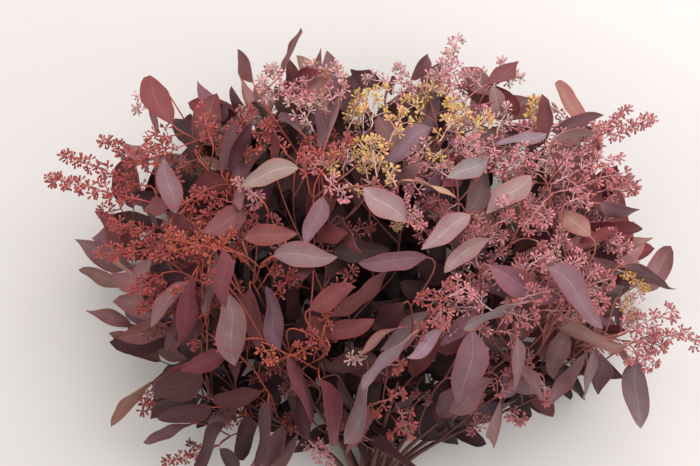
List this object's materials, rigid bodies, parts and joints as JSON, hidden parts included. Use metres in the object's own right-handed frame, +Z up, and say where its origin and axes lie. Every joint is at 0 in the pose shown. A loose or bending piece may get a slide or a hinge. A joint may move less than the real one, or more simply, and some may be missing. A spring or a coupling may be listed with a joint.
{
  "type": "bunch of seeded eucalyptus",
  "caption": "A tied bunch of dyed seeded eucalyptus lying on its back: dusty rose and plum leaves, sprays of red seed buds, straight cut stems and a rubber band.",
  "frame": {"origin": "centre of the bounding box in X and Y, on the surface the bunch lies on", "axes": "+X across the foliage, +Y along the stems towards the leaf tips, +Z up from the surface"},
  "size_m": [0.6696, 0.6962, 0.3306],
  "materials": {
    "leafy_stem": "matt dyed leaves with a grey bloom on woody stems",
    "band": "plain tan rubber band"
  },
  "bodies": {
    "root": {"band": "band", "spray_01": "leafy_stem", "spray_02": "leafy_stem", "spray_03": "leafy_stem", "spray_04": "leafy_stem", "spray_05": "leafy_stem", "spray_06": "leafy_stem", "spray_07": "leafy_stem", "spray_08": "leafy_stem", "spray_09": "leafy_stem", "spray_10": "leafy_stem", "spray_11": "leafy_stem", "spray_12": "leafy_stem", "spray_13": "leafy_stem", "spray_14": "leafy_stem", "spray_15": "leafy_stem", "spray_16": "leafy_stem"}
  },
  "joints": []
}
